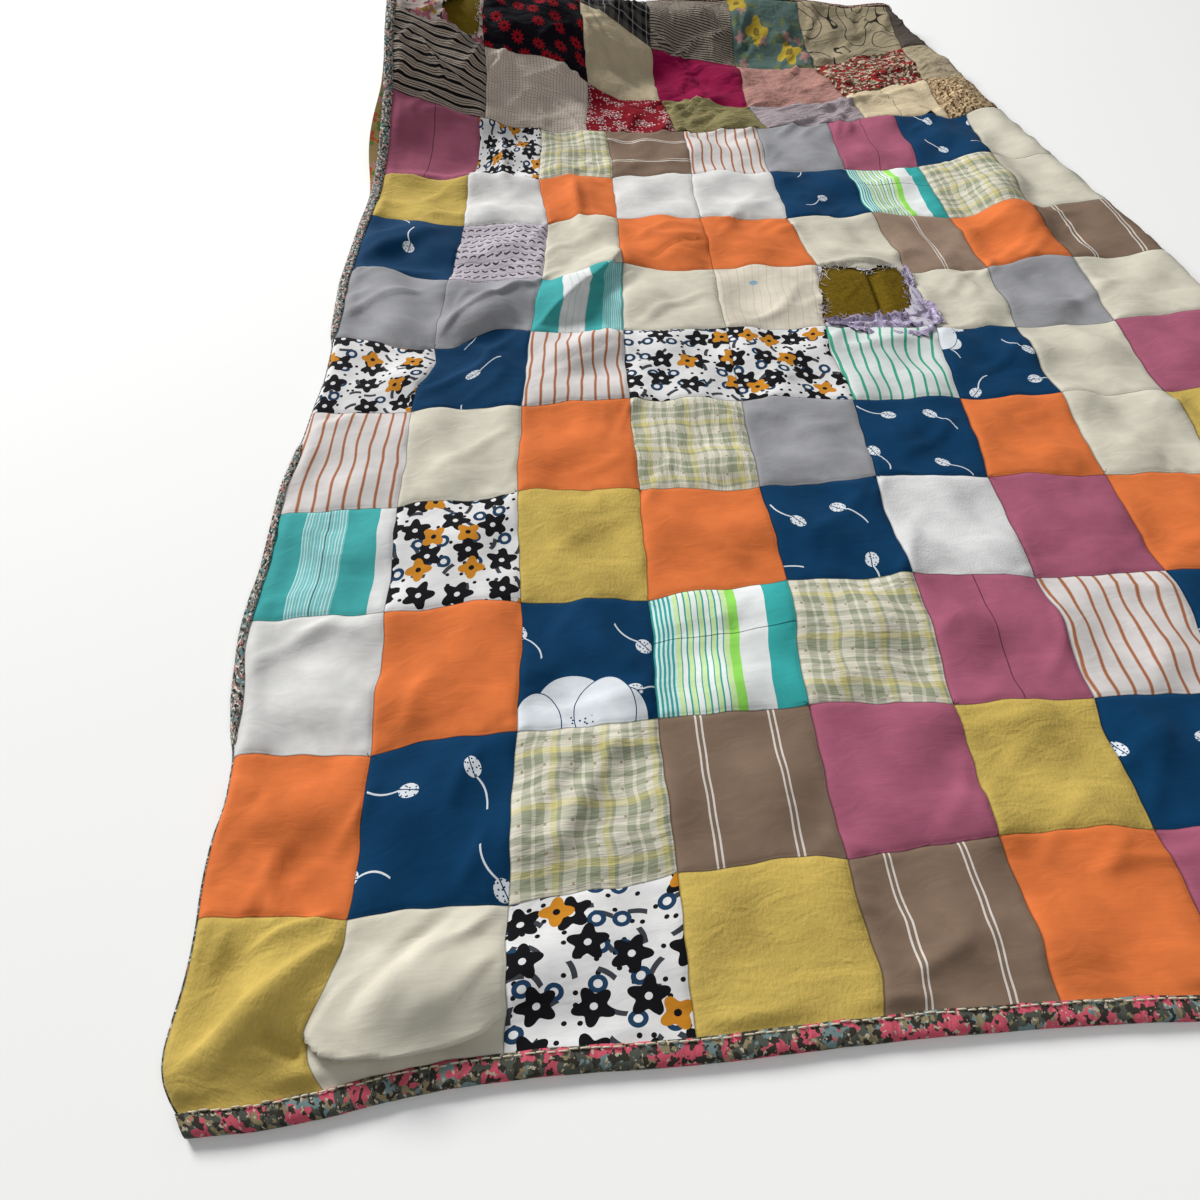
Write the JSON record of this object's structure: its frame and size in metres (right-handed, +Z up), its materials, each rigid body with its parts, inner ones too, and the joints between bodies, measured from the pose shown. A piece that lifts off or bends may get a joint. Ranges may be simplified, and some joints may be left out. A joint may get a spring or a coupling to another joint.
{
  "type": "patchwork quilt",
  "caption": "Rectangular patchwork quilt with a narrow bound edge, laid out with one far corner bunched up and one long side turned under.",
  "frame": {"origin": "on the surface that the quilt lies on, under the middle of its bounding box", "axes": "+Z up from the surface, +Y along the quilt from its flat near edge to its bunched far edge, +X across it to the side that is turned under"},
  "size_m": [1.4642, 2.2478, 0.1854],
  "materials": {
    "patchwork": "plain and printed patches, sewn edge to edge",
    "near_binding": "mottled floral print",
    "left_binding": "speckled print",
    "far_binding": "dark floral print",
    "right_binding": "speckled print",
    "olive_blanket": "brushed blanket",
    "lilac_remnant": "worn and frayed print",
    "printed_backing": "floral print"
  },
  "bodies": {
    "root": {"quilt_body": "patchwork", "binding_near": "near_binding", "binding_left": "left_binding", "binding_far": "far_binding", "binding_right": "right_binding", "filling_middle": "olive_blanket", "filling_far": "olive_blanket", "torn_remnant": "lilac_remnant", "backing_edge": "printed_backing"}
  },
  "joints": []
}
